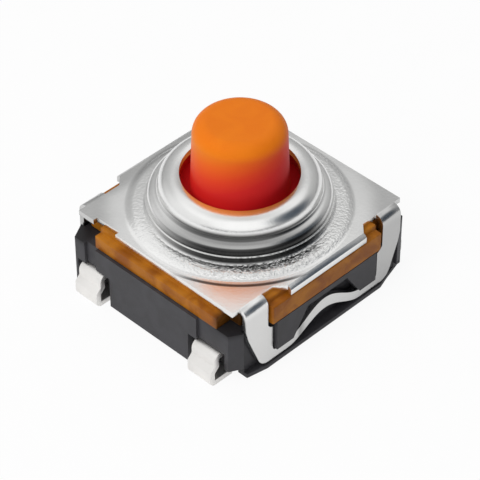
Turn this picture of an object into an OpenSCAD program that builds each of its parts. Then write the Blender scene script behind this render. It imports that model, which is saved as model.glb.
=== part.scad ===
// Sealed tactile push button switch for surface mounting
// A moulded housing holds two stamped terminals with J-shaped feet. A snap dome
// and a film lie in its well, a soft seal sits on its rim, and a drawn steel cover
// clips over two lugs with a strap on each side. Millimetres, +Z up, the origin
// is on the board under the middle of the switch. Leads are on the two X sides,
// clip straps on the two Y sides.

/* [Main sizes] */
// Length of the cover's plate, along X, from which all widths follow
cover_x = 6.2; // [5.8:0.05:6.8]
// Height of the housing's rim above the board
rim_z = 1.71; // [1.6:0.01:2.2]
// Height of the button's top above the collar
button_proud = 1.63; // [0.6:0.01:3.5]
// How far the button travels
travel = 0.28; // [0.2:0.01:0.28]

/* [Housing] */
// How far a lead panel stands out past the plate's edge
panel_past = 0.25; // [0.2:0.01:0.4]
// How far the housing's strap sides lie inside the plate's size
side_in = 0.13; // [0.11:0.01:0.16]
// Gap between the board and the housing's underside
standoff = 0.08; // [0.05:0.01:0.12]
// How far a lead panel stands out of the wall beside it
panel_out = 0.1; // [0.05:0.01:0.15]
// Depth of the wall that lies behind the strap legs
strap_wall_in = 0.12; // [0.1:0.01:0.16]
// How far a clip lug stands out of the strap's outer face
lug_out = 0.1; // [0.05:0.01:0.16]
// Wall between the film's step and the housing's strap side
ledge_wall = 0.42; // [0.36:0.01:0.5]
// Width of the step on which the film is clamped
ledge_w = 0.35; // [0.25:0.01:0.4]
// Corner cut along X
corner_cut_x = 0.44; // [0.3:0.02:0.5]
// Corner cut along Y
corner_cut_y = 0.24; // [0.15:0.01:0.3]

/* [Terminals] */
// Distance of a lead's centre line from the housing's strap side
lead_in = 0.87; // [0.82:0.01:0.92]
// Width of a lead
lead_w = 0.82; // [0.7:0.02:0.86]
// Thickness of the terminal strip
strip_t = 0.17; // [0.12:0.01:0.19]
// Depth of the terminal strip's upper face under the rim
strip_drop = 0.72; // [0.68:0.01:0.76]
// How far a lead stands out of its panel
lead_past = 0.26; // [0.13:0.01:0.4]
// How far the lower half of a lead stands out of the upper half
lead_jog = 0.15; // [0.1:0.01:0.16]
// Length of a solder foot, from the lead's outer face inwards
foot_len = 0.78; // [0.6:0.02:0.8]
// Radius of the centre contact
contact_r = 0.45; // [0.35:0.05:0.6]
// Radius of a rim contact
rim_contact_r = 0.27; // [0.22:0.01:0.3]

/* [Dome and film] */
// Gap between the dome's rim and the wall of the well
dome_gap = 0.1; // [0.08:0.01:0.14]
// Thickness of the dome's spring steel
dome_t = 0.07; // [0.05:0.01:0.09]
// How high the dome's middle stands above its rim
dome_rise = 0.29; // [0.28:0.01:0.32]
// Thickness of the sealing film
film_t = 0.04; // [0.03:0.01:0.05]

/* [Seal] */
// Height of the seal's rim on the housing
seal_h = 0.56; // [0.5:0.02:0.8]
// Height of its upper, narrower step
seal_step_h = 0.16; // [0.1:0.01:0.24]
// How far the seal reaches down over the housing's strap sides
seal_skirt = 0.18; // [0.1:0.01:0.24]
// How far the seal's lower step lies inside a lead panel's face
seal_in = 0.09; // [0.04:0.01:0.15]
// How far the upper step lies inside the lower one
seal_step_in = 0.2; // [0.14:0.01:0.22]

/* [Cover] */
// Thickness of the cover's sheet
sheet_t = 0.15; // [0.12:0.01:0.16]
// How far the straps' outer faces lie inside the plate's size
strap_in = 0.05; // [0.02:0.01:0.06]
// Outer radius of the bend between plate and strap
strap_bend_r = 0.26; // [0.2:0.01:0.28]
// How far a side lip reaches past the strap's outer face
lip_out = 0.12; // [0.1:0.01:0.18]
// How far a side lip hangs below the plate's underside
lip_drop = 0.1; // [0.02:0.01:0.12]
// Depth of the two notches in the plate's lead sides
notch_in = 0.14; // [0.08:0.01:0.16]
// Length of such a notch
notch_len = 0.82; // [0.5:0.02:0.9]
// Flat margin between the raised disc and the plate's edge
disc_margin = 0.09; // [0.07:0.01:0.15]
// Height of the raised disc above the plate
disc_rise = 0.06; // [0.03:0.01:0.09]
// Width of the raised disc around the collar
disc_w = 0.52; // [0.4:0.01:0.6]
// Radius of the collar's shoulder, at its outer face
shoulder_r = 0.25; // [0.22:0.01:0.28]
// Radius of the collar's rounded crown, at its outer face
crown_r = 0.42; // [0.38:0.01:0.46]
// Height of the crown above the plate
crown_rise = 1.13; // [1.05:0.01:1.3]
// Distance of the crown's centre circle inside the collar's wall
crown_in = 0.71; // [0.67:0.01:0.73]
// Distance of the hole's edge inside the crown's centre circle
hole_in = 0.15; // [0.1:0.01:0.2]

/* [Strap] */
// Distance of a strap's ends from the plate's corners
leg_end = 0.24; // [0.18:0.01:0.3]
// Width of the left leg at the plate, seen from outside
leg_w_left = 0.77; // [0.72:0.01:0.8]
// Width of the right leg at the plate
leg_w_right = 0.69; // [0.64:0.01:0.76]
// Width of the step in a leg's inner edge
leg_jog = 0.18; // [0.1:0.01:0.2]
// Height of the strap's bar above the board
bar_z = 0.25; // [0.22:0.01:0.28]
// Height of the bar itself
bar_h = 0.27; // [0.22:0.01:0.3]
// How high the arch lifts the bar's lower edge
arch_rise = 0.49; // [0.4:0.01:0.5]
// How much taller the bar is at the top of its arch
arch_extra = 0.08; // [0:0.01:0.1]
// Straight length of the bar beside its arch, from the lug's end
arch_end = 0.45; // [0.4:0.01:0.6]

/* [Button] */
// Clearance between the button and the hole
button_gap = 0.28; // [0.2:0.01:0.36]
// How much smaller the button's radius is at its top
button_draft = 0.06; // [0:0.01:0.1]
// Rounding of the button's top edge
button_edge = 0.42; // [0.05:0.01:0.45]
// How far the flange reaches past the hole's edge
flange_past = 0.28; // [0.2:0.01:0.3]

/* [Clearances] */
// Clearance between parts that are put together
fit_gap = 0.03; // [0.02:0.005:0.04]
// Clearance between the flange and the collar
flange_gap = 0.05; // [0.03:0.01:0.08]
// Clearance between a strap and the lug that it holds
lug_gap = 0.06; // [0.04:0.01:0.08]

/* [Hidden] */
$fn = 64;
eps = 0.01;
far = 20;

// Widths
half_plate = cover_x / 2;
half_x = half_plate + panel_past;
half_y = half_plate - side_in;
wall_x = half_x - panel_out;
wall_y = half_y - strap_wall_in;
strap_y = half_plate - strap_in;
lug_y = strap_y + lug_out;
lead_x = half_x + lead_past;
lead_y = half_y - lead_in;
ledge_r = half_y - ledge_wall;
well_r = ledge_r - ledge_w;
dome_r = well_r - dome_gap;

// Heights
plate_z = rim_z + seal_h;
plate_top = plate_z + sheet_t;
strip_z = rim_z - strip_drop;

// Collar and button
disc_edge = half_plate - disc_margin;
disc_r = disc_edge - disc_rise;
collar_r = disc_r - disc_w;
crown_at = collar_r - crown_in;
hole_r = crown_at - hole_in;
shoulder_drop = 0.27;
groove_r = 0.07;
collar_foot_r = 0.1;
button_r = hole_r - button_gap;
button_top = plate_top + crown_rise + button_proud;
flange_r = hole_r + flange_past;
flange_t_min = 0.6;
flange_chamfer = 0.06;
moat_past = 0.04;
moat_deep = 0.25;
notch_end = 0.86;

// Corners of the housing, long at +Y and short at -Y, where the seal ends beside them
corner_long = 0.9;
corner_short = 0.55;
corner_step = 0.61;
post_w = 0.47;
corner_long_y = half_y - corner_long;
corner_short_y = half_y - corner_short;
corner_step_y = half_y - corner_step;
corner_x = half_x - post_w;
seal_corner_in = 0.12;
lug_top = rim_z - seal_skirt;
panel_short = 0.35;
panel_long = 0.15;
panel_start = -lead_y + panel_short;
panel_end = lead_y - panel_long;
undercut_in = 0.37;
undercut_x = 0.1;
undercut_y = 0.18;
undercut_top = 0.35;

// Leads and the pockets that they stand in
lead_bend_r = 0.22;
lead_foot_r = 0.19;
lead_jog_z = 0.55 * strip_z;
pocket_inner_y = lead_y - lead_w / 2 - 0.24;
pocket_outer_y = lead_y + lead_w / 2 + 0.14;
pocket_x = wall_x - 0.26;
pocket_top = strip_z + fit_gap;
pocket_roof = 0.34;
corner_roof = 0.5;
foot_gap = 0.14;
strip_w = 0.5;

// Stack in the well
floor_z = strip_z + 0.03;
contact_z = floor_z + 0.02;
rim_contact_z = floor_z + 0.05;
rim_contact_at = well_r - rim_contact_r - 0.05;
rim_contact_angle = 20;
dome_outer_rise = dome_rise + dome_t;
film_clear = 0.01;
film_z = rim_contact_z + dome_t + film_clear;
nub_z = rim_contact_z + dome_outer_rise + film_clear + film_t + film_clear;
nub_r = 0.6;

// Strap, and the openings of the housing and the seal for it
leg_out = half_plate - leg_end;
leg_in_left = leg_out - leg_w_left;
leg_in_right = leg_out - leg_w_right;
kink_z_left = plate_top - 0.96;
kink_z_right = plate_top - 1.12;
jog_z = plate_top - 1.07;
leg_taper = 0.06;
leg_foot_in = 0.04;
leg_foot_r = 0.4;
leg_corner_r = 0.12;
lug_half = leg_in_left - leg_jog - lug_gap;
lip_half = lug_half - arch_end;
arch_half = lug_half - arch_end;
seal_window = leg_in_left - 0.08;
strap_groove_top = bar_z + bar_h + lug_gap;
strap_groove_bottom = bar_z - 0.04;
sill_out = 0.04;
sill_taper = 0.62;
sill_y = strap_y + sill_out;
sill_end = half_x - 0.59;
sill_half = sill_end - sill_taper;
arch_pocket_deep = 0.36;
arch_pocket_top = 0.73;
arch_pocket_in = 0.12;
arch_pocket_gap = 0.27;

// Points of an arc about c, from angle a to angle b, in n steps
function arc(c, r, a, b, n) =
    [for (i = [0:n]) c + r * [cos(a + (b - a) * i / n), sin(a + (b - a) * i / n)]];

// Points of a list in the other order
function reversed(list) = [for (i = [len(list) - 1:-1:0]) list[i]];

// A list of points mirrored in the second axis, in the other order
function mirrored(list) = [for (p = reversed(list)) [-p[0], p[1]]];

// A shape and its copy turned half a turn
module both_ends() {
    children();
    rotate(180) children();
}

// A shape and its copy mirrored to the other side in X
module both_sides() {
    children();
    mirror([1, 0, 0]) children();
}

// An outline in X and Z, h thick, starting at y and going outwards along -Y
module slab_y(y, h) {
    translate([0, -y, 0]) rotate([90, 0, 0]) linear_extrude(h) children();
}

// An outline in Y and Z, h thick, starting at x and going along +X
module slab_x(x, h) {
    translate([x, 0, 0]) rotate([90, 0, 90]) linear_extrude(h) children();
}

// A box from one corner to the other
module block(a, b) {
    translate(a) cube(b - a);
}

// Housing

module housing_plan() {
    polygon([
        [-half_x, -half_y + corner_cut_y], [-half_x + corner_cut_x, -half_y],
        [half_x - corner_cut_x, -half_y], [half_x, -half_y + corner_cut_y],
        [half_x, half_y - corner_cut_y], [half_x - corner_cut_x, half_y],
        [-half_x + corner_cut_x, half_y], [-half_x, half_y - corner_cut_y]
    ]);
}

// What is cut from the plan beside the panel of the -X side, longer at its +Y end
module lead_side_cuts() {
    past = half_x + 1;
    block([-past, -half_y - 1, standoff - 1], [-wall_x, panel_start, rim_z + 1]);
    block([-past, panel_end, standoff - 1], [-wall_x, corner_step_y, rim_z + 1]);
}

// The pocket around one lead of the -X side, with room for its foot
module lead_pocket(y) {
    inner = y > 0 ? pocket_inner_y : -pocket_outer_y;
    outer = y > 0 ? pocket_outer_y : -pocket_inner_y;
    foot_end = lead_x - foot_len - foot_gap;
    block([-half_x - 1, inner, standoff - 1], [-pocket_x, outer, pocket_top]);
    block([-half_x - 1, inner, standoff - 1], [-foot_end, outer, pocket_roof]);
}

// The wall behind the strap of the -Y side, the groove for its bar and the sill below
module strap_side_cuts() {
    past = half_y + 1;
    block([-corner_x, -past, strap_groove_bottom], [corner_x, -wall_y, rim_z + 1]);
    block([-far, -past, standoff - 1], [-sill_end, -pocket_outer_y, corner_roof]);
    translate([0, 0, standoff - 1]) linear_extrude(undercut_top - standoff + 1) polygon([
        [corner_x - undercut_in, -past], [corner_x - undercut_in, -half_y],
        [wall_x - undercut_x, -half_y + undercut_y], [far, -half_y + undercut_y], [far, -past]
    ]);
}

// The sill below the strap's bar, which stands out a little past the strap
module sill() {
    translate([0, 0, standoff]) linear_extrude(strap_groove_bottom - standoff) polygon([
        [-sill_end, -wall_y + eps], [-sill_end, -half_y], [-sill_half, -sill_y],
        [sill_half, -sill_y], [corner_x - undercut_in, -half_y],
        [corner_x - undercut_in, -wall_y + eps]
    ]);
}

// One clip lug
module lug() {
    block([-lug_half, -lug_y, strap_groove_top], [lug_half, -wall_y + eps, lug_top]);
}

// The arched pocket across a lug and the wall behind it, where the strap's bar springs
module arch_pocket() {
    low_half = arch_half - arch_pocket_in;
    top_z = bar_z + bar_h + arch_rise + arch_extra + arch_pocket_gap;
    low_z = strap_groove_top - 0.04;
    slab_y(lug_y - arch_pocket_deep, far) polygon([
        [-low_half, strap_groove_bottom], [-low_half, low_z], [-arch_pocket_top, top_z],
        [arch_pocket_top, top_z], [low_half, low_z], [low_half, strap_groove_bottom]
    ]);
}

module housing() {
    color("dimgray") difference() {
        union() {
            difference() {
                translate([0, 0, standoff]) linear_extrude(rim_z - standoff) housing_plan();
                both_sides() {
                    lead_side_cuts();
                    lead_pocket(lead_y);
                    lead_pocket(-lead_y);
                }
                both_ends() strap_side_cuts();
            }
            both_ends() {
                lug();
                sill();
            }
        }
        both_ends() arch_pocket();
        translate([0, 0, floor_z]) cylinder(r = well_r, h = rim_z);
        translate([0, 0, film_z]) cylinder(r = ledge_r, h = rim_z);
        terminal_centre_body();
        terminal_rim_body();
    }
}

// Terminals

// Section of one J-shaped lead of the -X side, from the wall to the foot
module lead_section() {
    up_x = lead_x - lead_jog;
    r = lead_bend_r;
    foot_r = lead_foot_r;
    outer = concat(
        arc([-up_x + r, strip_z - r], r, 90, 180, 6),
        [[-up_x, lead_jog_z + lead_jog / 2], [-lead_x, lead_jog_z - lead_jog / 2]],
        arc([-lead_x + foot_r, foot_r], foot_r, 180, 270, 6),
        [[-lead_x + foot_len, 0]]
    );
    inner = concat(
        [[-lead_x + foot_len, strip_t]],
        arc([-lead_x + foot_r, foot_r], foot_r - strip_t, 270, 180, 4),
        [[-lead_x + strip_t, lead_jog_z - lead_jog], [-up_x + strip_t, lead_jog_z]],
        arc([-up_x + r, strip_z - r], r - strip_t, 180, 90, 4)
    );
    polygon(concat([[-pocket_x + eps, strip_z]], outer, inner,
                   [[-pocket_x + eps, strip_z - strip_t]]));
}

// A strip between two opposite leads at y, buried in the housing's floor
module terminal_strip(y) {
    both_sides() slab_y(-y - lead_w / 2, lead_w) lead_section();
    block([-pocket_x, y - strip_w / 2, strip_z - strip_t],
          [pocket_x, y + strip_w / 2, strip_z]);
}

module contact(r, top) {
    translate([0, 0, strip_z - strip_t]) cylinder(r = r, h = top - strip_z + strip_t);
}

module terminal_centre_body() {
    terminal_strip(lead_y);
    block([-strip_w / 2, 0, strip_z - strip_t], [strip_w / 2, lead_y, strip_z]);
    contact(contact_r, contact_z);
}

module terminal_rim_body() {
    terminal_strip(-lead_y);
    for (side = [-1, 1]) {
        x = side * rim_contact_at * cos(rim_contact_angle);
        y = -rim_contact_at * sin(rim_contact_angle);
        block([x - strip_w / 2, -lead_y, strip_z - strip_t], [x + strip_w / 2, y, strip_z]);
        translate([x, y, 0]) contact(rim_contact_r, rim_contact_z);
    }
}

module terminal_centre() {
    color("silver") terminal_centre_body();
}

module terminal_rim() {
    color("silver") terminal_rim_body();
}

// Dome and film

// Half section of a shallow dome: a shell of thickness t on a rim of radius r
module dome_section(r, rise, t, z) {
    big = (r * r + rise * rise) / (2 * rise);
    top_angle = asin(r / big);
    centre = [0, z + rise - big];
    polygon(concat(
        arc(centre, big, 90 - top_angle, 90, 12),
        arc(centre, big + t, 90, 90 - top_angle, 12)
    ));
}

module snap_dome() {
    color("gainsboro") rotate_extrude()
        dome_section(dome_r, dome_rise, dome_t, rim_contact_z);
}

module film() {
    inner = dome_r + 0.04;
    rise = nub_z - film_clear - film_t - film_z;
    color("peru") union() {
        rotate_extrude() dome_section(inner, rise, film_t, film_z);
        translate([0, 0, film_z]) difference() {
            cylinder(r = ledge_r - fit_gap, h = film_t);
            translate([0, 0, -1]) cylinder(r = inner, h = far);
        }
    }
}

// Seal

// Outline of one step of the seal, reach out of its long sides by x and y
module seal_plan(x, y) {
    corner = corner_x - seal_corner_in;
    leg_y = wall_y - seal_corner_in;
    window = seal_window;
    short_y = corner_short_y - fit_gap;
    long_y = corner_long_y - fit_gap;
    half = [
        [-window, -y], [-window, -leg_y], [-corner, -leg_y], [-corner, -short_y],
        [-x, -short_y], [-x, long_y], [-corner, long_y], [-corner, leg_y],
        [-window, leg_y], [-window, y]
    ];
    polygon(concat(half, mirrored(half)));
}

module seal() {
    step_z = plate_z - seal_step_h;
    low_x = half_x - seal_in;
    low_y = lug_y;
    color("peru") difference() {
        union() {
            translate([0, 0, rim_z]) linear_extrude(seal_h - seal_step_h) seal_plan(low_x, low_y);
            translate([0, 0, step_z - eps]) linear_extrude(plate_z - step_z + eps)
                seal_plan(low_x - seal_step_in, low_y - seal_step_in);
            both_ends() block([-seal_window, -low_y, lug_top],
                              [seal_window, -wall_y, rim_z + eps]);
            translate([0, 0, film_z + film_t]) cylinder(r = ledge_r - fit_gap, h = seal_h);
        }
        cylinder(r = well_r + 0.05, h = far);
    }
}

// Cover

// Outline of the flat plate
module plate_plan() {
    x = half_plate;
    y = strap_y - strap_bend_r;
    notch = [x - notch_end - notch_len, x - notch_end];
    chamfer = strap_y + eps - y;
    side = [
        [-x, -y], [-x, notch[0]], [-x + notch_in, notch[0]], [-x + notch_in, notch[1]],
        [-x, notch[1]], [-x, y]
    ];
    lip = [
        [-lip_half - chamfer, y], [-lip_half, strap_y + eps],
        [lip_half, strap_y + eps], [lip_half + chamfer, y]
    ];
    polygon(concat(side, lip, mirrored(side), [for (p = lip) -p]));
}

// Section of the drawn collar and its raised disc, sheet_t thick throughout
module collar_section() {
    crown = [crown_at, plate_top + crown_rise - crown_r];
    wall = collar_r;
    shoulder = [wall - shoulder_r, crown[1] - shoulder_drop];
    // The groove's circle touches the crown's and the shoulder's from outside
    d = norm(shoulder - crown);
    a = crown_r + groove_r;
    b = shoulder_r + groove_r;
    along = (d * d + a * a - b * b) / (2 * d);
    up = sqrt(a * a - along * along);
    u = (shoulder - crown) / d;
    groove = crown + u * along + [-u[1], u[0]] * up;
    to_groove = atan2((groove - crown)[1], (groove - crown)[0]);
    to_shoulder = atan2((groove - shoulder)[1], (groove - shoulder)[0]);
    foot_r = collar_foot_r;
    disc_z = plate_top + disc_rise;
    foot = [wall + foot_r, disc_z + foot_r];
    lip_angle = 180 - acos((crown_at - hole_r) / crown_r);
    t = sheet_t;
    outer = concat(
        arc(crown, crown_r, lip_angle, to_groove, 14),
        arc(groove, groove_r, to_groove + 180, to_shoulder + 180, 4),
        arc(shoulder, shoulder_r, to_shoulder, 0, 8),
        arc(foot, foot_r, 180, 270, 4),
        [[disc_r, disc_z], [disc_edge, plate_top]]
    );
    inner_lip = 180 - acos((crown_at - hole_r) / (crown_r - t));
    inner = concat(
        arc(crown, crown_r - t, inner_lip, to_groove, 12),
        arc(groove, groove_r + t, to_groove + 180, to_shoulder + 180, 4),
        arc(shoulder, shoulder_r - t, to_shoulder, 0, 4),
        arc(foot, foot_r + t, 180, 270, 6),
        [[disc_r, disc_z - t], [disc_edge, plate_z]]
    );
    polygon(concat(outer, reversed(inner)));
}

// Outer edge of a strap's right leg, from the plate down to the bar
function leg_outside(kink_z, in) =
    let (kink = [leg_out - leg_taper, kink_z],
         foot = [in - leg_foot_in, bar_z + leg_foot_r],
         to_kink = kink - foot,
         touch = atan2(to_kink[1], to_kink[0]) - acos(leg_foot_r / norm(to_kink)))
    concat([[leg_out, plate_top + 1], [leg_out, kink_z + 0.3], kink],
           arc(foot, leg_foot_r, touch, -90, 6));

// Inner edge of a strap's right leg, from the bar up to the plate
function leg_inside(in) =
    let (low_x = in - leg_jog,
         corner = [low_x - leg_corner_r, bar_z + bar_h + leg_corner_r])
    concat(arc(corner, leg_corner_r, -90, 0, 4),
           [[low_x, jog_z], [in - 0.06, jog_z + 0.07], [in, jog_z + 0.16],
            [in, plate_top + 1]]);

// Outline of one strap: two tapered legs and the arched bar between them
module strap_outline() {
    steps = 28;
    wave = [for (i = [0:steps]) let (x = arch_half * (1 - 2 * i / steps))
        [x, (1 + cos(180 * x / arch_half)) / 2]];
    low = [for (p = wave) [p[0], bar_z + arch_rise * p[1]]];
    high = [for (p = wave) [p[0], bar_z + bar_h + (arch_rise + arch_extra) * p[1]]];
    polygon(concat(
        leg_outside(kink_z_right, leg_in_right), low,
        mirrored(leg_outside(kink_z_left, leg_in_left)),
        mirrored(leg_inside(leg_in_left)), reversed(high),
        leg_inside(leg_in_right)
    ));
}

// Section of a strap: flat with the plate, then bent down
module strap_section() {
    r = strap_bend_r;
    c = [-strap_y + r, plate_top - r];
    root = c[0] + 0.1;
    polygon(concat(
        [[root, plate_z], [root, plate_top]],
        arc(c, r, 90, 180, 8),
        [[-strap_y, bar_z - 1], [-strap_y + sheet_t, bar_z - 1]],
        arc(c, r - sheet_t, 180, 90, 4)
    ));
}

module strap() {
    intersection() {
        slab_x(-leg_out - 1, 2 * leg_out + 2) strap_section();
        slab_y(strap_y - 1, 2) strap_outline();
    }
}

// The side lip, whose edge is turned down
module side_lip() {
    y = strap_y;
    z = plate_top;
    tip = y + lip_out;
    lip_z = plate_z - lip_drop;
    slab_x(-lip_half, 2 * lip_half) polygon([
        [-y + 0.02, plate_z], [-y + 0.02, z], [-y, z], [-y - lip_out * 0.6, z - 0.03],
        [-tip, z - 0.09], [-tip, lip_z], [-y, lip_z], [-y, plate_z]
    ]);
}

module cover() {
    color("lightgray") union() {
        difference() {
            translate([0, 0, plate_z]) linear_extrude(sheet_t) plate_plan();
            cylinder(r = disc_edge, h = far);
        }
        rotate_extrude() collar_section();
        both_ends() {
            strap();
            side_lip();
        }
    }
}

// Actuator

module actuator() {
    flange_top = plate_top + crown_rise - crown_r
        + sqrt(pow(crown_r - sheet_t, 2) - pow(flange_r - crown_at, 2)) - flange_gap;
    flange_z = nub_z + travel + flange_t_min;
    chamfer = flange_chamfer;
    moat_r = hole_r + moat_past;
    edge = button_edge;
    top_r = button_r - button_draft;
    color("darkorange") rotate_extrude() polygon(concat(
        [[0, nub_z], [nub_r, nub_z], [nub_r, flange_z - chamfer], [nub_r + chamfer, flange_z],
         [flange_r, flange_z], [flange_r, flange_top - chamfer],
         [flange_r - chamfer, flange_top], [moat_r, flange_top],
         [moat_r, flange_top - moat_deep], [button_r, flange_top - moat_deep]],
        arc([top_r - edge, button_top - edge], edge, 0, 90, 6),
        [[0, button_top]]
    ));
}

housing();
terminal_centre();
terminal_rim();
snap_dome();
film();
seal();
cover();
actuator();
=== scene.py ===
# %% [markdown]
# This file dresses a small tactile push button switch. The real one is about seven
# millimetres across: a dark moulded housing, four silver leads, an amber seal, a drawn
# steel cover with a rolled collar, and an orange button. The sizes come from the packed
# model, which is loaded first and stays as it is.

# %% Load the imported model
import bpy
import bmesh
import math
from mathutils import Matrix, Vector


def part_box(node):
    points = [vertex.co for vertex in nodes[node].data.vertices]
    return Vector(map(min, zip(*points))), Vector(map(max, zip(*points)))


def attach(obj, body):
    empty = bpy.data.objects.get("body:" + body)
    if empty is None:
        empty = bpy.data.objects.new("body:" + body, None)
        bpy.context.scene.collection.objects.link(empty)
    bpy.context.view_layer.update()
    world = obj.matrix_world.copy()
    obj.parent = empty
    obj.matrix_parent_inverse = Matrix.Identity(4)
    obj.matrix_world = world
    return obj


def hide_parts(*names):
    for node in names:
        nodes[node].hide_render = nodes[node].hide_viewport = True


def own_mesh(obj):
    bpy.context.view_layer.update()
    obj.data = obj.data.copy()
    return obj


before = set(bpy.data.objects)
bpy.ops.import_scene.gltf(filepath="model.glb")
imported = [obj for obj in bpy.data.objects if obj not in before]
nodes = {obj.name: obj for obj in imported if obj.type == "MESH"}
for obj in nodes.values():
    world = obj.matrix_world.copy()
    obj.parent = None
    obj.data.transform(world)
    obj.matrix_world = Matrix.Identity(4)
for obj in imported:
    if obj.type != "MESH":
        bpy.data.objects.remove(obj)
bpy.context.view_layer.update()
MM = 0.001
print("nodes:", sorted(nodes))

# %% [markdown]
# The photograph looks down at one corner of the switch, from far away through a long
# lens. A far camera with a long lens gives the same weak perspective. The small shift
# raises the switch in the picture, as it stands in the photograph.

# %% Camera
TURN, RISE, FAR = math.radians(-45.43), math.radians(40.84), 62.14 * MM
MIDDLE, LENS, SENSOR, SHIFT = Vector((0, 0, 1.7 * MM)), 178.4, 36, -0.0312
towards_camera = Vector((math.sin(TURN) * math.cos(RISE),
                         -math.cos(TURN) * math.cos(RISE), math.sin(RISE)))
camera_data = bpy.data.cameras.new("camera")
camera = bpy.data.objects.new("camera", camera_data)
bpy.context.scene.collection.objects.link(camera)
camera.location = MIDDLE + towards_camera * FAR
camera.rotation_euler = (-towards_camera).to_track_quat("-Z", "Y").to_euler()
camera_data.lens, camera_data.sensor_width, camera_data.shift_y = LENS, SENSOR, SHIFT
camera_data.clip_start, camera_data.clip_end = 0.001, 10
bpy.context.scene.camera = camera
print("camera at", [round(v / MM, 2) for v in camera.location], "mm")

# %% [markdown]
# Node trees are long to write out by hand. This helper adds one node, sets its plain
# values and links its inputs in a single line, so that each material below stays short.
# The small ones after it stand for one sum, one smooth step, one colour ramp, one mix of
# two colours, the place along a direction, one noise and a product. A band is a mask that
# rises to one between its first two places and falls to zero between its last two, and
# these are in millimetres.

# %% Helpers for nodes
def add(tree, kind, links=None, **values):
    node = tree.nodes.new(kind)
    for key, value in values.items():
        setattr(node, key, value)
    for key, value in (links or {}).items():
        socket = node.inputs[key]
        if isinstance(value, bpy.types.NodeSocket):
            tree.links.new(value, socket)
        else:
            socket.default_value = value
    return node


def maths(tree, operation, *terms):
    node = add(tree, "ShaderNodeMath", dict(enumerate(terms)), operation=operation)
    return node.outputs[0]


def step(tree, value, start, end, low=0.0, high=1.0):
    return add(tree, "ShaderNodeMapRange", {0: value, 1: start, 2: end, 3: low, 4: high},
               interpolation_type="SMOOTHSTEP").outputs[0]


def ramp(tree, fac, stops):
    node = add(tree, "ShaderNodeValToRGB", {"Fac": fac})
    elements = node.color_ramp.elements
    while len(elements) < len(stops):
        elements.new(0.5)
    for element, (place, colour) in zip(elements, stops):
        element.position = place
        element.color = (*colour, 1)
    return node.outputs["Color"]


def blend(tree, fac, low, high):
    low, high = ((*c, 1) if isinstance(c, tuple) else c for c in (low, high))
    node = add(tree, "ShaderNodeMix", {0: fac, 6: low, 7: high}, data_type="RGBA")
    return node.outputs[2]


def along(tree, vector, aim):
    return add(tree, "ShaderNodeVectorMath", {0: vector, 1: aim},
               operation="DOT_PRODUCT").outputs["Value"]


def noise(tree, vector, scale, **values):
    return add(tree, "ShaderNodeTexNoise",
               {"Vector": vector, "Scale": scale, **values}).outputs["Fac"]


def product(tree, *terms):
    result = terms[0]
    for term in terms[1:]:
        result = maths(tree, "MULTIPLY", result, term)
    return result


def band(tree, value, *places):
    start, full, fading, end = (v * MM for v in places)
    return maths(tree, "MULTIPLY", step(tree, value, start, full),
                 step(tree, value, fading, end, 1.0, 0.0))


def new_group(name, ins, outs):
    tree = bpy.data.node_groups.new(name, "ShaderNodeTree")
    for label, kind, value in ins:
        socket = tree.interface.new_socket(label, in_out="INPUT", socket_type=kind)
        if value is not None:
            socket.default_value = value
    for label, kind in outs:
        tree.interface.new_socket(label, in_out="OUTPUT", socket_type=kind)
    given, out = tree.nodes.new("NodeGroupInput"), tree.nodes.new("NodeGroupOutput")
    return tree, given.outputs, out


def new_material(name, colour):
    material = bpy.data.materials.new(name)
    material.use_nodes = True
    material.diffuse_color = (*colour, 1)
    tree = material.node_tree
    place = add(tree, "ShaderNodeTexCoord").outputs["Object"]
    return material, tree, place, tree.nodes["Principled BSDF"]


FLOAT, VECTOR = "NodeSocketFloat", "NodeSocketVector"

# %% [markdown]
# Polished metal shows its surroundings, so the surroundings matter as much as the metal.
# The studio is a tent of grey cloth, brightest somewhat above half height. A bright white
# screen hangs behind the camera, more light comes from the left, it is dark near the
# ground on the camera's side, and a dark cloth hangs on the right. A level face mirrors
# the grey back of the tent. The side of the crown that faces the camera mirrors the white
# screen and, low down, the dark, and its right front mirrors the dark cloth. Only mirror
# rays see this contrast. Matt surfaces get the tent's soft mean light, which is weaker on
# the side of the straps, and camera rays see white.

# %% World
world = bpy.data.worlds.new("studio")
bpy.context.scene.world = world
world.use_nodes = True
tree = world.node_tree
tree.nodes.clear()
direction = add(tree, "ShaderNodeTexCoord").outputs["Generated"]


def lobe(towards, start, end):
    return step(tree, along(tree, direction, Vector(towards).normalized()), start, end)


WHITE = (1.0, 1.0, 1.0)
GROUND_DARK, CLOTH_DARK = (0.018, 0.021, 0.028), (0.06, 0.075, 0.095)
SOFT_STOPS = [(0.0, (0.38, 0.38, 0.39)), (0.4, (0.5, 0.5, 0.51)),
              (1.0, (0.92, 0.92, 0.92))]
SOFT_STRAP_SIDE = (0.20, 0.20, 0.205)
TENT_GREYS = ((0.0, 0.20), (0.2, 0.40), (0.45, 0.46), (0.60, 0.48), (0.65, 0.58),
              (0.71, 0.82), (0.78, 0.94), (0.88, 0.84), (1.0, 0.62))

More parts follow.
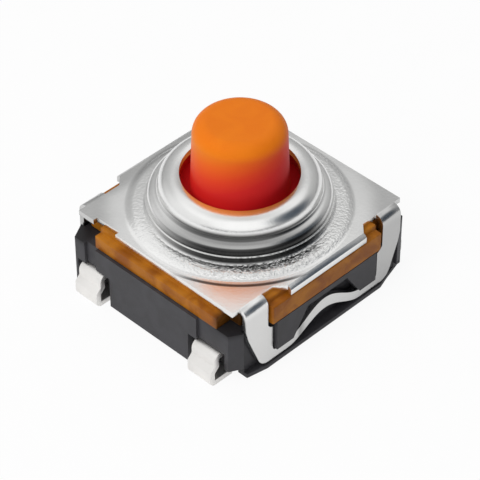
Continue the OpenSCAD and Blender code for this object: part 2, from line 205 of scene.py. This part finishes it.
height = add(tree, "ShaderNodeSeparateXYZ", {0: direction}).outputs["Z"]
tent = ramp(tree, height, [(v, (g, g, g)) for v, g in TENT_GREYS])
left_cloth = maths(tree, "MULTIPLY", lobe((-0.85, 0.30, 0.30), 0.30, 0.85), 0.70)
screen = lobe((-0.56, -0.56, 0.61), 0.62, 0.90)
lit = blend(tree, maths(tree, "MAXIMUM", left_cloth, screen), tent, WHITE)
near_ground = maths(tree, "MULTIPLY", lobe((-0.70, -0.70, -0.10), 0.50, 0.80),
                    step(tree, height, 0.02, 0.20, 1.0, 0.0))
surround = blend(tree, near_ground, lit, GROUND_DARK)
surround = blend(tree, lobe((0.45, -0.75, 0.49), 0.80, 0.98), surround, CLOTH_DARK)
soft = blend(tree, lobe((0.25, -0.97, 0.0), 0.05, 0.95), ramp(tree, height, SOFT_STOPS),
             SOFT_STRAP_SIDE)
path = add(tree, "ShaderNodeLightPath").outputs
colour = blend(tree, path["Is Glossy Ray"], soft, surround)
colour = blend(tree, path["Is Camera Ray"], colour, WHITE)
studio = add(tree, "ShaderNodeBackground", {"Color": colour, "Strength": 1.0})
add(tree, "ShaderNodeOutputWorld", {"Surface": studio.outputs[0]})
print("studio tent with a white screen behind the camera")

# %% [markdown]
# One large lamp from the upper left models the forms, as a softbox does. Mirror rays
# don't see it, because the tent's cloth stands for it there. The floor is a pale sheet of
# paper. For camera rays it is mostly plain white, which keeps only a light shadow under
# the switch, and mirror rays see it a little darker, with more of the shadow.

# %% Lamp and floor
def softbox(name, place, aim, size, watts):
    data = bpy.data.lights.new(name, "AREA")
    data.shape, data.size, data.energy = "DISK", size, watts
    lamp = bpy.data.objects.new(name, data)
    bpy.context.scene.collection.objects.link(lamp)
    lamp.location = place
    shine = Vector(aim) - Vector(place)
    lamp.rotation_euler = shine.to_track_quat("-Z", "Y").to_euler()
    lamp.visible_glossy = False


softbox("softbox_left", place=(-0.075, 0.0, 0.085), aim=(0, 0, 0.002), size=0.06,
        watts=0.055)

SHOWN_WHITE, MIRRORED_WHITE = 0.92, 0.35
floor_mesh = bpy.data.meshes.new("floor")
floor_mesh.from_pydata([(-1, -1, 0), (1, -1, 0), (1, 1, 0), (-1, 1, 0)], [],
                       [(0, 1, 2, 3)])
floor = bpy.data.objects.new("floor", floor_mesh)
bpy.context.scene.collection.objects.link(floor)
paper, tree, place, bsdf = new_material("floor_paper", (0.9, 0.9, 0.9))
fibres = ramp(tree, noise(tree, place, 900.0, Detail=3.0),
              [(0.3, (0.86, 0.86, 0.86)), (0.7, (0.9, 0.9, 0.9))])
tree.links.new(fibres, bsdf.inputs["Base Color"])
bsdf.inputs["Roughness"].default_value = 0.9
bsdf.inputs["Specular IOR Level"].default_value = 0.1
path = add(tree, "ShaderNodeLightPath").outputs
mirrored = maths(tree, "MAXIMUM", path["Is Glossy Ray"], path["Is Transmission Ray"])
shown = maths(tree, "MULTIPLY_ADD", path["Is Camera Ray"], SHOWN_WHITE,
              maths(tree, "MULTIPLY", mirrored, MIRRORED_WHITE))
glow = add(tree, "ShaderNodeEmission", {"Color": (1, 1, 1, 1), "Strength": 1.0})
mixed = add(tree, "ShaderNodeMixShader",
            {0: shown, 1: bsdf.outputs[0], 2: glow.outputs[0]})
tree.links.new(mixed.outputs[0], tree.nodes["Material Output"].inputs["Surface"])
floor_mesh.materials.append(paper)
print("one softbox and a pale floor")

# %% [markdown]
# The sheet metal isn't perfectly smooth or flat. Pressing leaves the plate very slightly
# dished. Stretching the collar out of the strip leaves a fine orange-peel skin around its
# foot, rougher on one side, and a softer one on its crown. The group adds both to one
# height, and one Bump node turns the height into a normal. On the disc's left front the
# normal leans a little forward, because the disc slopes there and mirrors the brighter
# part of the tent. The group also gives a roughness and a tone. The tone holds painted
# shade: it is lower at the plate's rim away from the front and on the straps below the
# plate. It also holds painted dark reflections and shade on the front side, as black lines
# and specks in the collar's foot and groove, on its shoulder and round its disc.

# %% Group: skin of the drawn sheet
sheet_skin, given, out = new_group("drawn_sheet_skin", [
    ("Vector", VECTOR, None), ("Crowning", FLOAT, 0.0), ("Peel size", FLOAT, 9000.0),
    ("Ring peel", FLOAT, 0.0), ("Skin peel", FLOAT, 0.0000015), ("Satin", FLOAT, 0.3),
    ("Dull below", FLOAT, 0.0), ("Dullness", FLOAT, 1.0), ("Rim tone", FLOAT, 1.0),
    ("Drawn tone", FLOAT, 1.0), ("Specks", FLOAT, 0.0)],
    [("Tone", FLOAT), ("Roughness", FLOAT), ("Normal", VECTOR)])
FRONT, RIGHT_FRONT = (-0.707, -0.707, 0.0), (-0.45, -0.89, 0.0)
LEFT_FRONT, ROUGH_SIDE = (-0.97, -0.26, 0.0), (-0.15, -0.99, 0.0)
LEAN = (-0.07, -0.07, 0.0)
t, vector = sheet_skin, given["Vector"]
xyz = add(t, "ShaderNodeSeparateXYZ", {0: vector}).outputs
square = maths(t, "ADD", maths(t, "MULTIPLY", xyz[0], xyz[0]),
               maths(t, "MULTIPLY", xyz[1], xyz[1]))
radius = maths(t, "SQRT", square)
front, right_front = along(t, vector, FRONT), along(t, vector, RIGHT_FRONT)
print("group", t.name)

# %% Skin: height and roughness
CLOUDED, RUBBED = 0.08, -0.06
ring = band(t, radius, 2.40, 2.48, 2.88, 3.00)
peel = noise(t, vector, given["Peel size"], Detail=2.0, Roughness=0.55)
cloud = noise(t, vector, 1100.0, Detail=2.0)
rougher = step(t, along(t, vector, ROUGH_SIDE), -1.8 * MM, 2.2 * MM, 0.22, 1.0)
depth = maths(t, "MULTIPLY_ADD", product(t, ring, rougher), given["Ring peel"],
              given["Skin peel"])
height = maths(t, "SUBTRACT", product(t, peel, depth),
               product(t, square, given["Crowning"]))
bump = add(t, "ShaderNodeBump", {"Strength": 1.0, "Distance": 1.0, "Height": height})
rough = maths(t, "MULTIPLY_ADD", cloud, CLOUDED, given["Satin"])
t.links.new(maths(t, "MULTIPLY_ADD", ring, RUBBED, rough), out.inputs["Roughness"])
print("peel on the disc and roughness")

# %% Skin: leaning normal
sloping = product(t, step(t, along(t, vector, LEFT_FRONT), 1.7 * MM, 2.6 * MM),
                  band(t, radius, 2.54, 2.68, 2.96, 3.08))
lean = add(t, "ShaderNodeVectorMath", {0: LEAN, 3: sloping}, operation="SCALE").outputs[0]
leaning = add(t, "ShaderNodeVectorMath", {0: bump.outputs["Normal"], 1: lean},
              operation="ADD").outputs[0]
leaning = add(t, "ShaderNodeVectorMath", {0: leaning}, operation="NORMALIZE").outputs[0]
t.links.new(leaning, out.inputs["Normal"])
print("normal of the disc's left front")

# %% Skin: painted dark reflections and shade, lines and specks
bead = band(t, xyz[2], 2.71, 2.72, 2.75, 2.77)
foot = product(t, band(t, radius, 2.30, 2.38, 2.45, 2.54),
               band(t, xyz[2], 2.46, 2.57, 2.90, 3.02),
               step(t, bead, 0.0, 1.0, 1.0, 0.35),
               step(t, right_front, 1.0 * MM, 2.2 * MM, 0.75, 1.0))
groove = product(t, band(t, radius, 2.00, 2.12, 2.17, 2.30),
                 band(t, xyz[2], 2.92, 3.04, 3.12, 3.30))
edge = product(t, band(t, radius, 3.06, 3.13, 3.17, 3.23),
               step(t, front, 2.5 * MM, 3.0 * MM))
shoulder = product(t, band(t, radius, 2.14, 2.22, 2.38, 2.44),
                   step(t, xyz[2], 3.19 * MM, 3.27 * MM, 1.0, 0.0))
# Painted dark reflections and shade on the front side: foot, groove, edge and shoulder
# lines.
painted_shade_and_reflection = foot
for line, strength in ((groove, 0.85), (edge, 0.8), (shoulder, 0.55)):
    painted_shade_and_reflection = maths(t, "MAXIMUM", painted_shade_and_reflection, product(t, line, strength))
painted_shade_and_reflection = product(t, painted_shade_and_reflection, step(t, front, 0.2 * MM, 2.1 * MM))
# Painted dark reflections: black specks round the disc on the right front.
specks = noise(t, vector, 11000.0, Detail=3.0, Roughness=0.65)
specks = product(t, ring, given["Specks"], step(t, right_front, 1.9 * MM, 2.5 * MM),
                 step(t, specks, 0.42, 0.56, 1.0, 0.0),
                 step(t, radius, 2.6 * MM, 2.8 * MM, 1.0, 0.35))
painted_shade_and_reflection = maths(t, "MAXIMUM", painted_shade_and_reflection, specks)
print("foot, groove, edge, shoulder and specks")

# %% Skin: tone
# Painted shade: the tone is lower at the plate's rim, away from the front.
rim = product(t, maths(t, "MAXIMUM", step(t, radius, 3.0 * MM, 3.9 * MM),
                       step(t, xyz[1], 2.3 * MM, 3.0 * MM)),
              step(t, front, 0.5 * MM, 2.8 * MM, 1.0, 0.0))
# Painted shade: the tone is lower below the plate, on the straps.
bright_from = maths(t, "ADD", given["Dull below"], 0.3 * MM)
tone = product(t, step(t, cloud, 0.3, 0.7, 0.95, 1.0),
               step(t, xyz[2], given["Dull below"], bright_from, given["Dullness"], 1.0))
for where, lowest in ((rim, "Rim tone"), (painted_shade_and_reflection, "Drawn tone")):
    tone = product(t, tone, step(t, where, 0.0, 1.0, 1.0, given[lowest]))
t.links.new(tone, out.inputs["Tone"])
print("tone from", len(t.nodes), "nodes")

# %% Sheet metals
def sheet_metal(name, tint, **values):
    material, tree, place, bsdf = new_material(name, tint)
    skin = add(tree, "ShaderNodeGroup", {"Vector": place}, node_tree=sheet_skin)
    for label, value in values.items():
        skin.inputs[label.replace("_", " ")].default_value = value
    toned = blend(tree, skin.outputs["Tone"], (0, 0, 0), tint)
    tree.links.new(toned, bsdf.inputs["Base Color"])
    tree.links.new(skin.outputs["Roughness"], bsdf.inputs["Roughness"])
    tree.links.new(skin.outputs["Normal"], bsdf.inputs["Normal"])
    bsdf.inputs["Metallic"].default_value = 1.0
    return material


# These tones paint shade at the rim and on the straps, and dark reflections on the front
# side.
cover_metal = sheet_metal(
    "cover_satin_steel", (0.96, 0.96, 0.95), Crowning=4.0, Satin=0.20, Peel_size=15000.0,
    Ring_peel=0.000022, Skin_peel=0.0000018, Dull_below=0.00205, Dullness=0.82,
    Rim_tone=0.68, Drawn_tone=0.05, Specks=0.75)
lead_metal = sheet_metal("lead_silver_plating", (0.99, 0.975, 0.95), Satin=0.46,
                         Peel_size=14000.0, Skin_peel=0.000003)
dome_metal = sheet_metal("dome_spring_steel", (0.80, 0.78, 0.70), Satin=0.15)
print("metals made")

# %% [markdown]
# Moulded plastic has a very fine grain from the tool, and its gloss varies a little. The
# group gives a tone, a roughness and a normal for it, and the housing, the seal, the film
# and the button each use it with their own sizes. Under the corners of the cover the
# housing and the seal are painted darker, a painted shade for the shadow of the cover's
# overhang.

# %% Group: moulded grain
moulded, given, out = new_group("moulded_grain", [
    ("Vector", VECTOR, None), ("Grain size", FLOAT, 20000.0), ("Depth", FLOAT, 0.3),
    ("Gloss", FLOAT, 0.45)], [("Tone", FLOAT), ("Roughness", FLOAT), ("Normal", VECTOR)])
t = moulded
grain = noise(t, given["Vector"], given["Grain size"], Detail=2.0)
flow = noise(t, given["Vector"], 1500.0, Detail=3.0, Distortion=0.6)
bump = add(t, "ShaderNodeBump", {"Strength": given["Depth"], "Distance": 0.00001,
           "Height": grain})
t.links.new(step(t, flow, 0.3, 0.7), out.inputs["Tone"])
t.links.new(maths(t, "MULTIPLY_ADD", flow, 0.12, given["Gloss"]), out.inputs["Roughness"])
t.links.new(bump.outputs["Normal"], out.inputs["Normal"])
print("group", t.name)

# %% Plastics and rubber
PAINTED_SHADE_DARK = (0.004, 0.003, 0.003)


def moulding(name, low, high, gloss, grain_size, depth, shine=0.5, shaded=1.0,
             both_ends=True):
    material, tree, place, bsdf = new_material(name, high)
    grain = add(tree, "ShaderNodeGroup", {"Vector": place, "Gloss": gloss, "Depth": depth,
                "Grain size": grain_size}, node_tree=moulded)
    tone = blend(tree, grain.outputs["Tone"], low, high)
    xyz = add(tree, "ShaderNodeSeparateXYZ", {0: place}).outputs
    ends = (maths(tree, "ABSOLUTE", xyz[1]) if both_ends
            else maths(tree, "MULTIPLY", xyz[1], -1.0))
    # Painted shade under the cover's corners, at both ends, or on the seal at one end only.
    painted_shade = product(tree, step(tree, xyz[2], 1.5 * MM, 1.8 * MM),
                   step(tree, ends, 2.15 * MM, 2.5 * MM),
                   step(tree, maths(tree, "ABSOLUTE", xyz[0]), 2.4 * MM, 2.7 * MM),
                   1.0 - shaded)
    tone = blend(tree, painted_shade, tone, PAINTED_SHADE_DARK)
    tree.links.new(tone, bsdf.inputs["Base Color"])
    tree.links.new(grain.outputs["Roughness"], bsdf.inputs["Roughness"])
    tree.links.new(grain.outputs["Normal"], bsdf.inputs["Normal"])
    bsdf.inputs["Specular IOR Level"].default_value = shine
    return material, tree, place, bsdf, tone


housing_plastic = moulding(
    "housing_dark_plastic", (0.036, 0.035, 0.039), (0.050, 0.049, 0.055), gloss=0.46,
    grain_size=22000.0, depth=0.25, shine=0.4, shaded=0.1)[0]
seal_rubber = moulding(
    "seal_amber_rubber", (0.27, 0.078, 0.004), (0.46, 0.165, 0.010), gloss=0.36,
    grain_size=15000.0, depth=0.6, shine=0.18, shaded=0.15, both_ends=False)[0]
film_plastic = moulding(
    "film_amber", (0.5, 0.2, 0.03), (0.55, 0.24, 0.04), gloss=0.2, grain_size=9000.0,
    depth=0.1)[0]
print("plastics made")

# %% [markdown]
# Painted shade: the button's orange is painted darker red towards the collar, where the
# plastic is seen against itself and takes up less light. A ramp along its height, tilted a
# little away from the lamp so the side away from it is painted darker too, gives that
# change, and the rounded top keeps the plain orange. The ramp reads the button's own place,
# so it moves with the button. Mirror rays see it more orange, as it looks on the plate and
# on the hole's edge in the photograph.

# %% Button plastic
MIRRORED_ORANGE, MIRRORED_SHARE = (0.86, 0.30, 0.05), 0.7
TILTED_UP = (-0.26, 0.20, 1.0)
button_plastic, tree, place, bsdf, tone = moulding(
    "button_orange_plastic", (0.84, 0.195, 0.008), (0.87, 0.215, 0.009), gloss=0.36,
    grain_size=26000.0, depth=0.2, shine=0.12)
# Painted shade: the ramp darkens the red low down and away from the lamp.
climb = add(tree, "ShaderNodeMapRange", {0: along(tree, place, TILTED_UP), 1: 3.2 * MM,
            2: 5.2 * MM}).outputs[0]
shaded_red_ramp = ramp(tree, climb, [
    (0.0, (0.44, 0.007, 0.010)), (0.12, (0.56, 0.010, 0.013)),
    (0.36, (0.64, 0.018, 0.015)), (0.56, (0.74, 0.050, 0.013)),
    (0.78, (0.83, 0.125, 0.010)), (1.0, (0.86, 0.225, 0.008))])
height = add(tree, "ShaderNodeSeparateXYZ", {0: place}).outputs["Z"]
own = blend(tree, step(tree, height, 4.70 * MM, 5.06 * MM), shaded_red_ramp, tone)
path = add(tree, "ShaderNodeLightPath").outputs
mirrored = maths(tree, "MULTIPLY", path["Is Glossy Ray"], MIRRORED_SHARE)
tree.links.new(blend(tree, mirrored, own, MIRRORED_ORANGE), bsdf.inputs["Base Color"])
print("button plastic made")

# %% [markdown]
# The housing, the seal, the leads and the flat sheet of the cover keep the shapes of the
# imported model. A real edge always has a small radius that catches the light, so each is
# copied, its triangles are joined to whole faces, and a narrow bevel rounds its edges.
# Weighted normals keep the large faces flat up to the bevel, so they mirror evenly.

# %% Softened copies
SAME_PLANE, SHARP_EDGE, TURNED_CREASE = (math.radians(v) for v in (0.5, 35, 50))
MOULDED_EDGE, RUBBER_EDGE, SHEET_EDGE, THIN_EDGE = 0.025, 0.035, 0.02, 0.01
MERGE = 1e-8


def finish(piece, material, body):
    evaluated = piece.evaluated_get(bpy.context.evaluated_depsgraph_get())
    mesh = bpy.data.meshes.new_from_object(evaluated)
    piece.modifiers.clear()
    piece.data = mesh
    mesh.materials.clear()
    mesh.materials.append(material)
    for polygon in mesh.polygons:
        polygon.material_index = 0
    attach(piece, body)
    print(piece.name, len(mesh.polygons), "faces")


def softened(node, name, material, width, body, keep=None):
    shape = bmesh.new()
    shape.from_mesh(nodes[node].data)
    bmesh.ops.remove_doubles(shape, verts=shape.verts, dist=MERGE)
    if keep:
        gone = [f for f in shape.faces if not keep(f)]
        bmesh.ops.delete(shape, geom=gone, context="FACES")
    bmesh.ops.dissolve_limit(shape, angle_limit=SAME_PLANE, verts=shape.verts,
                             edges=shape.edges)
    mesh = bpy.data.meshes.new(name)
    shape.to_mesh(mesh)
    shape.free()
    mesh.shade_smooth()
    piece = bpy.data.objects.new(name, mesh)
    bpy.context.scene.collection.objects.link(piece)
    bevel = piece.modifiers.new("edges", "BEVEL")
    bevel.width, bevel.segments, bevel.limit_method = width * MM, 2, "ANGLE"
    bevel.angle_limit = SHARP_EDGE
    piece.modifiers.new("flat faces", "WEIGHTED_NORMAL").weight = 100
    finish(piece, material, body)
    return piece


housing = softened("housing", "housing_moulding", housing_plastic, MOULDED_EDGE,
                   "switch_body")
seal = softened("seal", "seal_ring", seal_rubber, RUBBER_EDGE, "switch_body")
leads_a = softened("terminal_centre", "leads_centre", lead_metal, SHEET_EDGE, "switch_body")
leads_b = softened("terminal_rim", "leads_rim", lead_metal, SHEET_EDGE, "switch_body")

# %% [markdown]
# The collar and the button are turned forms: one outline swept around the axis. A
# Geometry Nodes tree does this for both. It lays out a grid, looks up the outline's point
# for each row and turns it by the angle of its column. The outline is the object's own
# mesh, a chain of points.

# %% Geometry Nodes: turn an outline
def turning_tree():
    tree = bpy.data.node_groups.new("turn_outline", "GeometryNodeTree")
    face = tree.interface
    face.new_socket("Outline", in_out="INPUT", socket_type="NodeSocketGeometry")
    face.new_socket("Steps around", in_out="INPUT", socket_type="NodeSocketInt")
    face.new_socket("Points", in_out="INPUT", socket_type="NodeSocketInt")
    face.new_socket("Finish", in_out="INPUT", socket_type="NodeSocketMaterial")
    face.new_socket("Turned", in_out="OUTPUT", socket_type="NodeSocketGeometry")
    given = tree.nodes.new("NodeGroupInput").outputs
    out = tree.nodes.new("NodeGroupOutput")
    columns = maths(tree, "ADD", given["Steps around"], 1.0)
    grid = add(tree, "GeometryNodeMeshGrid", {"Size X": 1.0, "Size Y": 1.0,
               "Vertices X": columns, "Vertices Y": given["Points"]})
    position = tree.nodes.new("GeometryNodeInputPosition").outputs[0]
    xyz = add(tree, "ShaderNodeSeparateXYZ", {0: position}).outputs
    last = maths(tree, "SUBTRACT", given["Points"], 1.0)
    row = maths(tree, "ROUND", product(tree, maths(tree, "ADD", xyz[1], 0.5), last))
    angle = product(tree, maths(tree, "ADD", xyz[0], 0.5), 2 * math.pi)
    point = add(tree, "GeometryNodeSampleIndex",
                {"Geometry": given["Outline"], "Value": position, "Index": row},
                data_type="FLOAT_VECTOR", domain="POINT")
    turned = add(tree, "ShaderNodeVectorRotate",
                 {"Vector": point.outputs[0], "Angle": angle}, rotation_type="Z_AXIS")
    placed = add(tree, "GeometryNodeSetPosition", {"Geometry": grid.outputs["Mesh"],
                 "Position": turned.outputs[0]})
    joined = add(tree, "GeometryNodeMergeByDistance", {"Geometry": placed.outputs[0],
                 "Distance": MERGE})
    real = add(tree, "GeometryNodeRealizeInstances", {0: joined.outputs[0]})
    dressed = add(tree, "GeometryNodeSetMaterial", {"Geometry": real.outputs[0],
                  "Material": given["Finish"]})
    tree.links.new(dressed.outputs[0], out.inputs[0])
    return tree


turn = turning_tree()
print("tree", turn.name)

# %% Turned pieces
def turned(name, outline, steps, material, body):
    mesh = bpy.data.meshes.new(name + "_outline")
    mesh.from_pydata([(x * MM, 0, z * MM) for x, z in outline],
                     [(i, i + 1) for i in range(len(outline) - 1)], [])
    piece = bpy.data.objects.new(name, mesh)
    bpy.context.scene.collection.objects.link(piece)
    lathe = piece.modifiers.new("turn", "NODES")
    lathe.node_group = turn
    wanted = {"Steps around": steps, "Points": len(outline), "Finish": material}
    for item in turn.interface.items_tree:
        if item.in_out == "INPUT" and item.name in wanted:
            lathe[item.identifier] = wanted[item.name]
    finish(piece, material, body)
    piece.data.shade_smooth()
    piece.data.set_sharp_from_angle(angle=TURNED_CREASE)
    shape = bmesh.new()
    shape.from_mesh(piece.data)
    bmesh.ops.dissolve_degenerate(shape, edges=shape.edges, dist=MERGE / 10)
    bmesh.ops.recalc_face_normals(shape, faces=shape.faces)
    shape.to_mesh(piece.data)
    shape.free()
    return piece


def arc(centre, radius, start, end, steps):
    turns = [math.radians(start + (end - start) * i / steps) for i in range(steps + 1)]
    return [(centre[0] + radius * math.cos(a), centre[1] + radius * math.sin(a))
            for a in turns]


print("helpers for turned pieces")

# %% [markdown]
# The collar is one sheet, drawn up and rolled in: a raised disc, a sharp foot, a straight
# wall with a fine bead, a round shoulder, a narrow groove and a fat crown that ends in the
# hole. Each arc touches the next, so the groove's circle is found from the other two. The
# inside follows the outside one sheet thickness away. These sizes are in millimetres.

# %% Collar
SHEET, PLATE_TOP, HALF_PLATE = 0.15, 2.42, 3.1
GROOVE_R, FOOT_R, BEAD_R, BEAD_DROP, SHOULDER_DROP = 0.10, 0.10, 0.035, 0.05, 0.35
DISC_RISE, SLOPE_WIDTH, SLOPE_STEPS, COLLAR_STEPS = 0.075, 0.26, 8, 192
disc_edge = HALF_PLATE - 0.09
disc_r = disc_edge - 0.06
collar_r = disc_r - 0.52
crown_at, crown_r, crown_rise, shoulder_r = collar_r - 0.71, 0.42, 1.13, 0.25
hole_r = crown_at - 0.15


def collar_outline():
    crown = (crown_at, PLATE_TOP + crown_rise - crown_r)
    shoulder = (collar_r - shoulder_r, crown[1] - SHOULDER_DROP)
    apart = math.dist(shoulder, crown)
    from_crown, from_shoulder = crown_r + GROOVE_R, shoulder_r + GROOVE_R
    ahead = (apart ** 2 + from_crown ** 2 - from_shoulder ** 2) / (2 * apart)
    up = math.sqrt(from_crown ** 2 - ahead ** 2)
    u = ((shoulder[0] - crown[0]) / apart, (shoulder[1] - crown[1]) / apart)
    dip = (crown[0] + u[0] * ahead - u[1] * up, crown[1] + u[1] * ahead + u[0] * up)
    to_dip = math.degrees(math.atan2(dip[1] - crown[1], dip[0] - crown[0]))
    to_shoulder = math.degrees(math.atan2(dip[1] - shoulder[1], dip[0] - shoulder[0]))
    disc_top = PLATE_TOP + DISC_RISE
    foot = (collar_r + FOOT_R, disc_top + FOOT_R)
    slope = [(disc_edge - SLOPE_WIDTH * i / SLOPE_STEPS,
              disc_top - DISC_RISE / 2 * (1 + math.cos(math.pi * i / SLOPE_STEPS)))
             for i in range(SLOPE_STEPS, -1, -1)]
    lip = 180 - math.degrees(math.acos((crown_at - hole_r) / crown_r))
    inner_lip = 180 - math.degrees(math.acos((crown_at - hole_r) / (crown_r - SHEET)))
    outside = (arc(crown, crown_r, lip, to_dip, 26)
               + arc(dip, GROOVE_R, to_dip + 180, to_shoulder + 180, 8)[1:]
               + arc(shoulder, shoulder_r, to_shoulder, 0, 16)[1:]
               + arc((collar_r, shoulder[1] - BEAD_DROP), BEAD_R, 90, -90, 8)
               + arc(foot, FOOT_R, 180, 270, 8) + slope)
    inside = (arc(crown, crown_r - SHEET, inner_lip, to_dip, 20)
              + arc(dip, GROOVE_R + SHEET, to_dip + 180, to_shoulder + 180, 6)[1:]
              + arc(shoulder, shoulder_r - SHEET, to_shoulder, 0, 6)[1:]
              + arc(foot, FOOT_R + SHEET, 180, 270, 8)
              + [(disc_r, disc_top - SHEET), (disc_edge, PLATE_TOP - SHEET)])
    return outside + inside[::-1] + outside[:1]


collar = turned("cover_collar", collar_outline(), COLLAR_STEPS, cover_metal, "switch_body")

# %% [markdown]
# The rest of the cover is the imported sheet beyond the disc's edge, softened like the
# other pieces. It meets the turned collar there.

# %% Flat sheet and straps
ROUNDING = 0.004


def beyond_collar(face):
    limit = (disc_edge + ROUNDING) * MM
    return any(math.hypot(v.co.x, v.co.y) > limit for v in face.verts)


sheet = softened("cover", "cover_sheet", cover_metal, SHEET_EDGE, "switch_body",
                 keep=beyond_collar)

# %% [markdown]
# The button is turned too. Under the collar it has a flange that holds it in, and a moat
# in the flange lets one look deep into the gap around the button. The nub under it rests
# on the film. Its top edge has a wide radius, which the light runs along.

# %% Button
NUB_R, CHAMFER, FILLET, MOAT, MOAT_LIP, TOP_EDGE = 0.6, 0.06, 0.05, 0.25, 0.04, 0.42
BUTTON_STEPS = 160
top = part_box("actuator")[1][2] / MM
foot_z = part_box("actuator")[0][2] / MM
button_r, tip_r = hole_r - 0.28, hole_r - 0.34
flange_r, flange_top, flange_z = hole_r + 0.28, 3.317, foot_z + 0.88
moat_r, moat_z = hole_r + MOAT_LIP, flange_top - MOAT
outline = ([(0, foot_z), (NUB_R, foot_z), (NUB_R, flange_z - CHAMFER),
            (NUB_R + CHAMFER, flange_z), (flange_r, flange_z),
            (flange_r, flange_top - CHAMFER), (flange_r - CHAMFER, flange_top),
            (moat_r, flange_top), (moat_r, moat_z), (button_r + FILLET, moat_z),
            (button_r, moat_z + FILLET)]
           + arc((tip_r - TOP_EDGE, top - TOP_EDGE), TOP_EDGE, 2, 90, 18) + [(0, top)])
button = turned("button_cap", outline, BUTTON_STEPS, button_plastic, "button")

# %% [markdown]
# The dome and the film are out of sight under the button. Each is softened like the other
# pieces and gets a mesh of its own.


def giving_way(node, name, material):
    piece = softened(node, name, material, THIN_EDGE, "switch_body")
    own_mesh(piece)
    return piece


dome = giving_way("snap_dome", "dome_disc", dome_metal)
film = giving_way("film", "film_disc", film_plastic)

# %% [markdown]
# Each dressed piece now stands in for its node, which stays hidden for the physics.

# %% Stand in for the CAD nodes
for piece, node, slot_name in (
        (housing, "housing", "housing"), (seal, "seal", "seal"),
        (leads_a, "terminal_centre", "terminal"), (leads_b, "terminal_rim", "terminal"),
        (dome, "snap_dome", "dome"), (film, "film", "film"),
        (collar, "cover", "cover"), (sheet, "cover", "cover"),
        (button, "actuator", "button")):
    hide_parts(node)
print("nodes replaced")

# %% [markdown]
# The Standard view transform shows the colours as they are.

# %% View settings
bpy.context.scene.view_settings.view_transform = "Standard"
